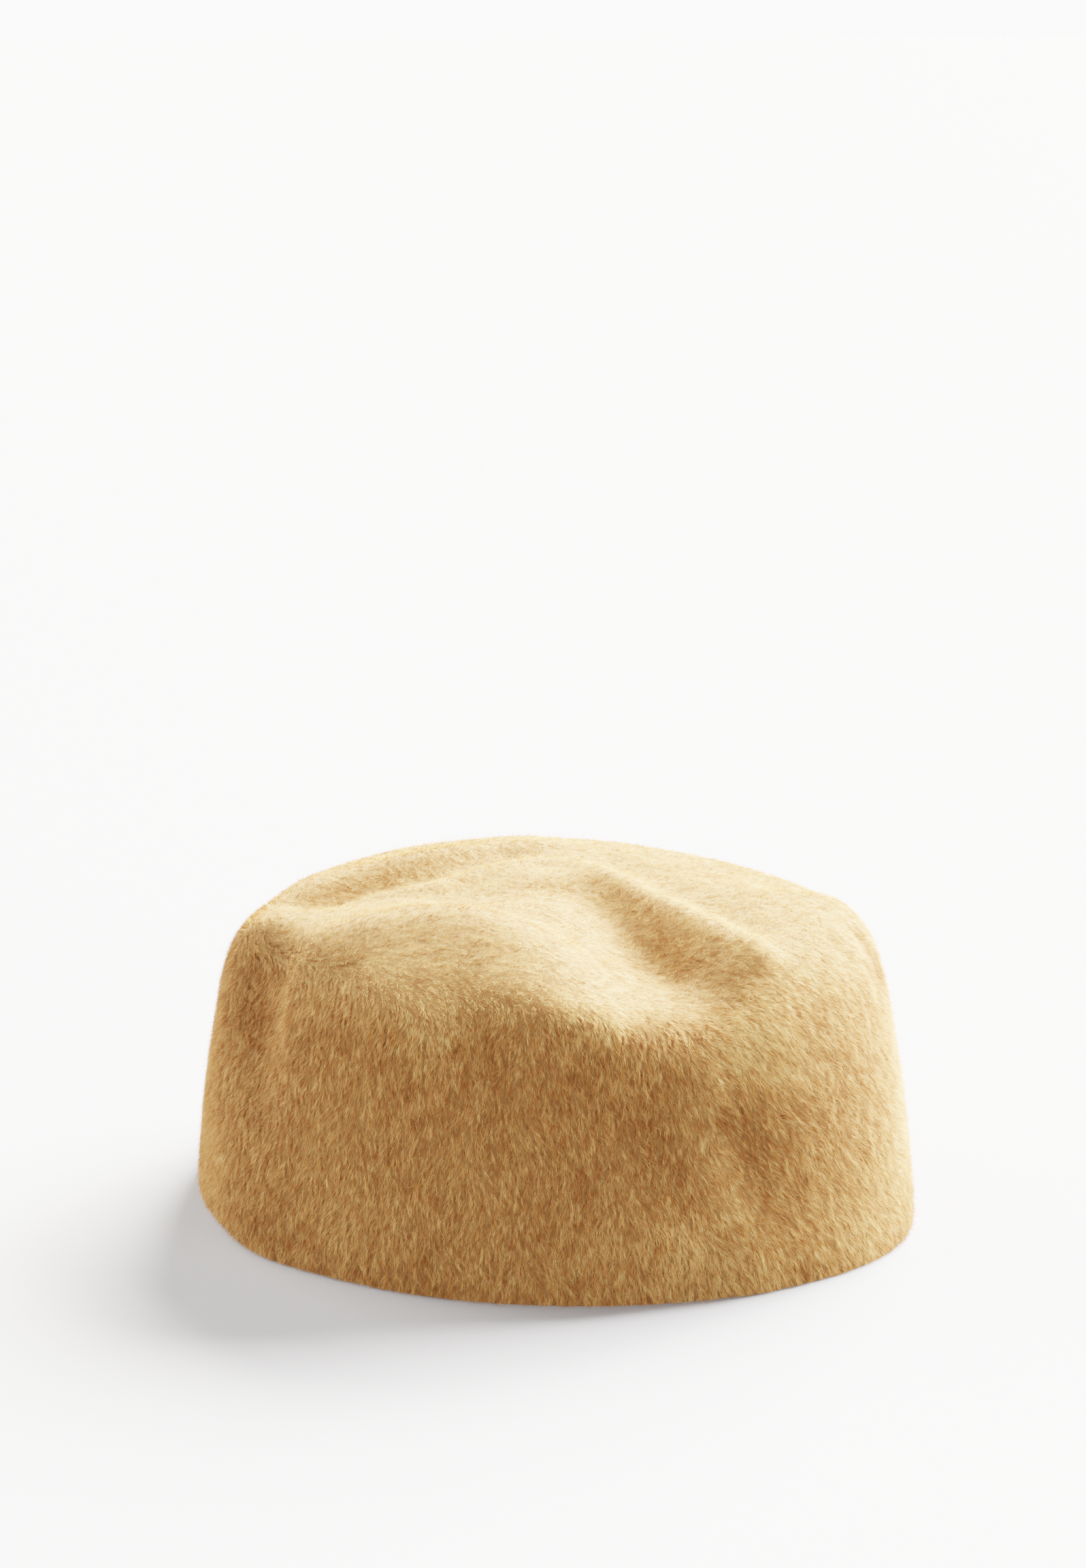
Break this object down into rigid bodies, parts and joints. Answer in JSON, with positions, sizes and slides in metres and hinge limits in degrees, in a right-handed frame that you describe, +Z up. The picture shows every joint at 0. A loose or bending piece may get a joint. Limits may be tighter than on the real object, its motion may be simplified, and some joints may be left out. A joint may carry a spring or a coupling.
{
  "type": "felt cap",
  "caption": "Soft brimless round cap of long-napped camel wool felt, with leaning sides and a slack dented crown, standing on its open rim.",
  "frame": {"origin": "middle of the floor box, on the surface that the rim stands on", "axes": "+Z is up through the crown; -Y is the side that faced the camera and +X is to its right, so the deepest hollow of the crown lies towards +X and -Y"},
  "size_m": [0.1858, 0.186, 0.0876],
  "materials": {
    "camel_felt": "camel-coloured wool felt with a short brushed pile, matt with a soft light fringe"
  },
  "bodies": {
    "root": {"felt_cap": "camel_felt"}
  },
  "joints": []
}
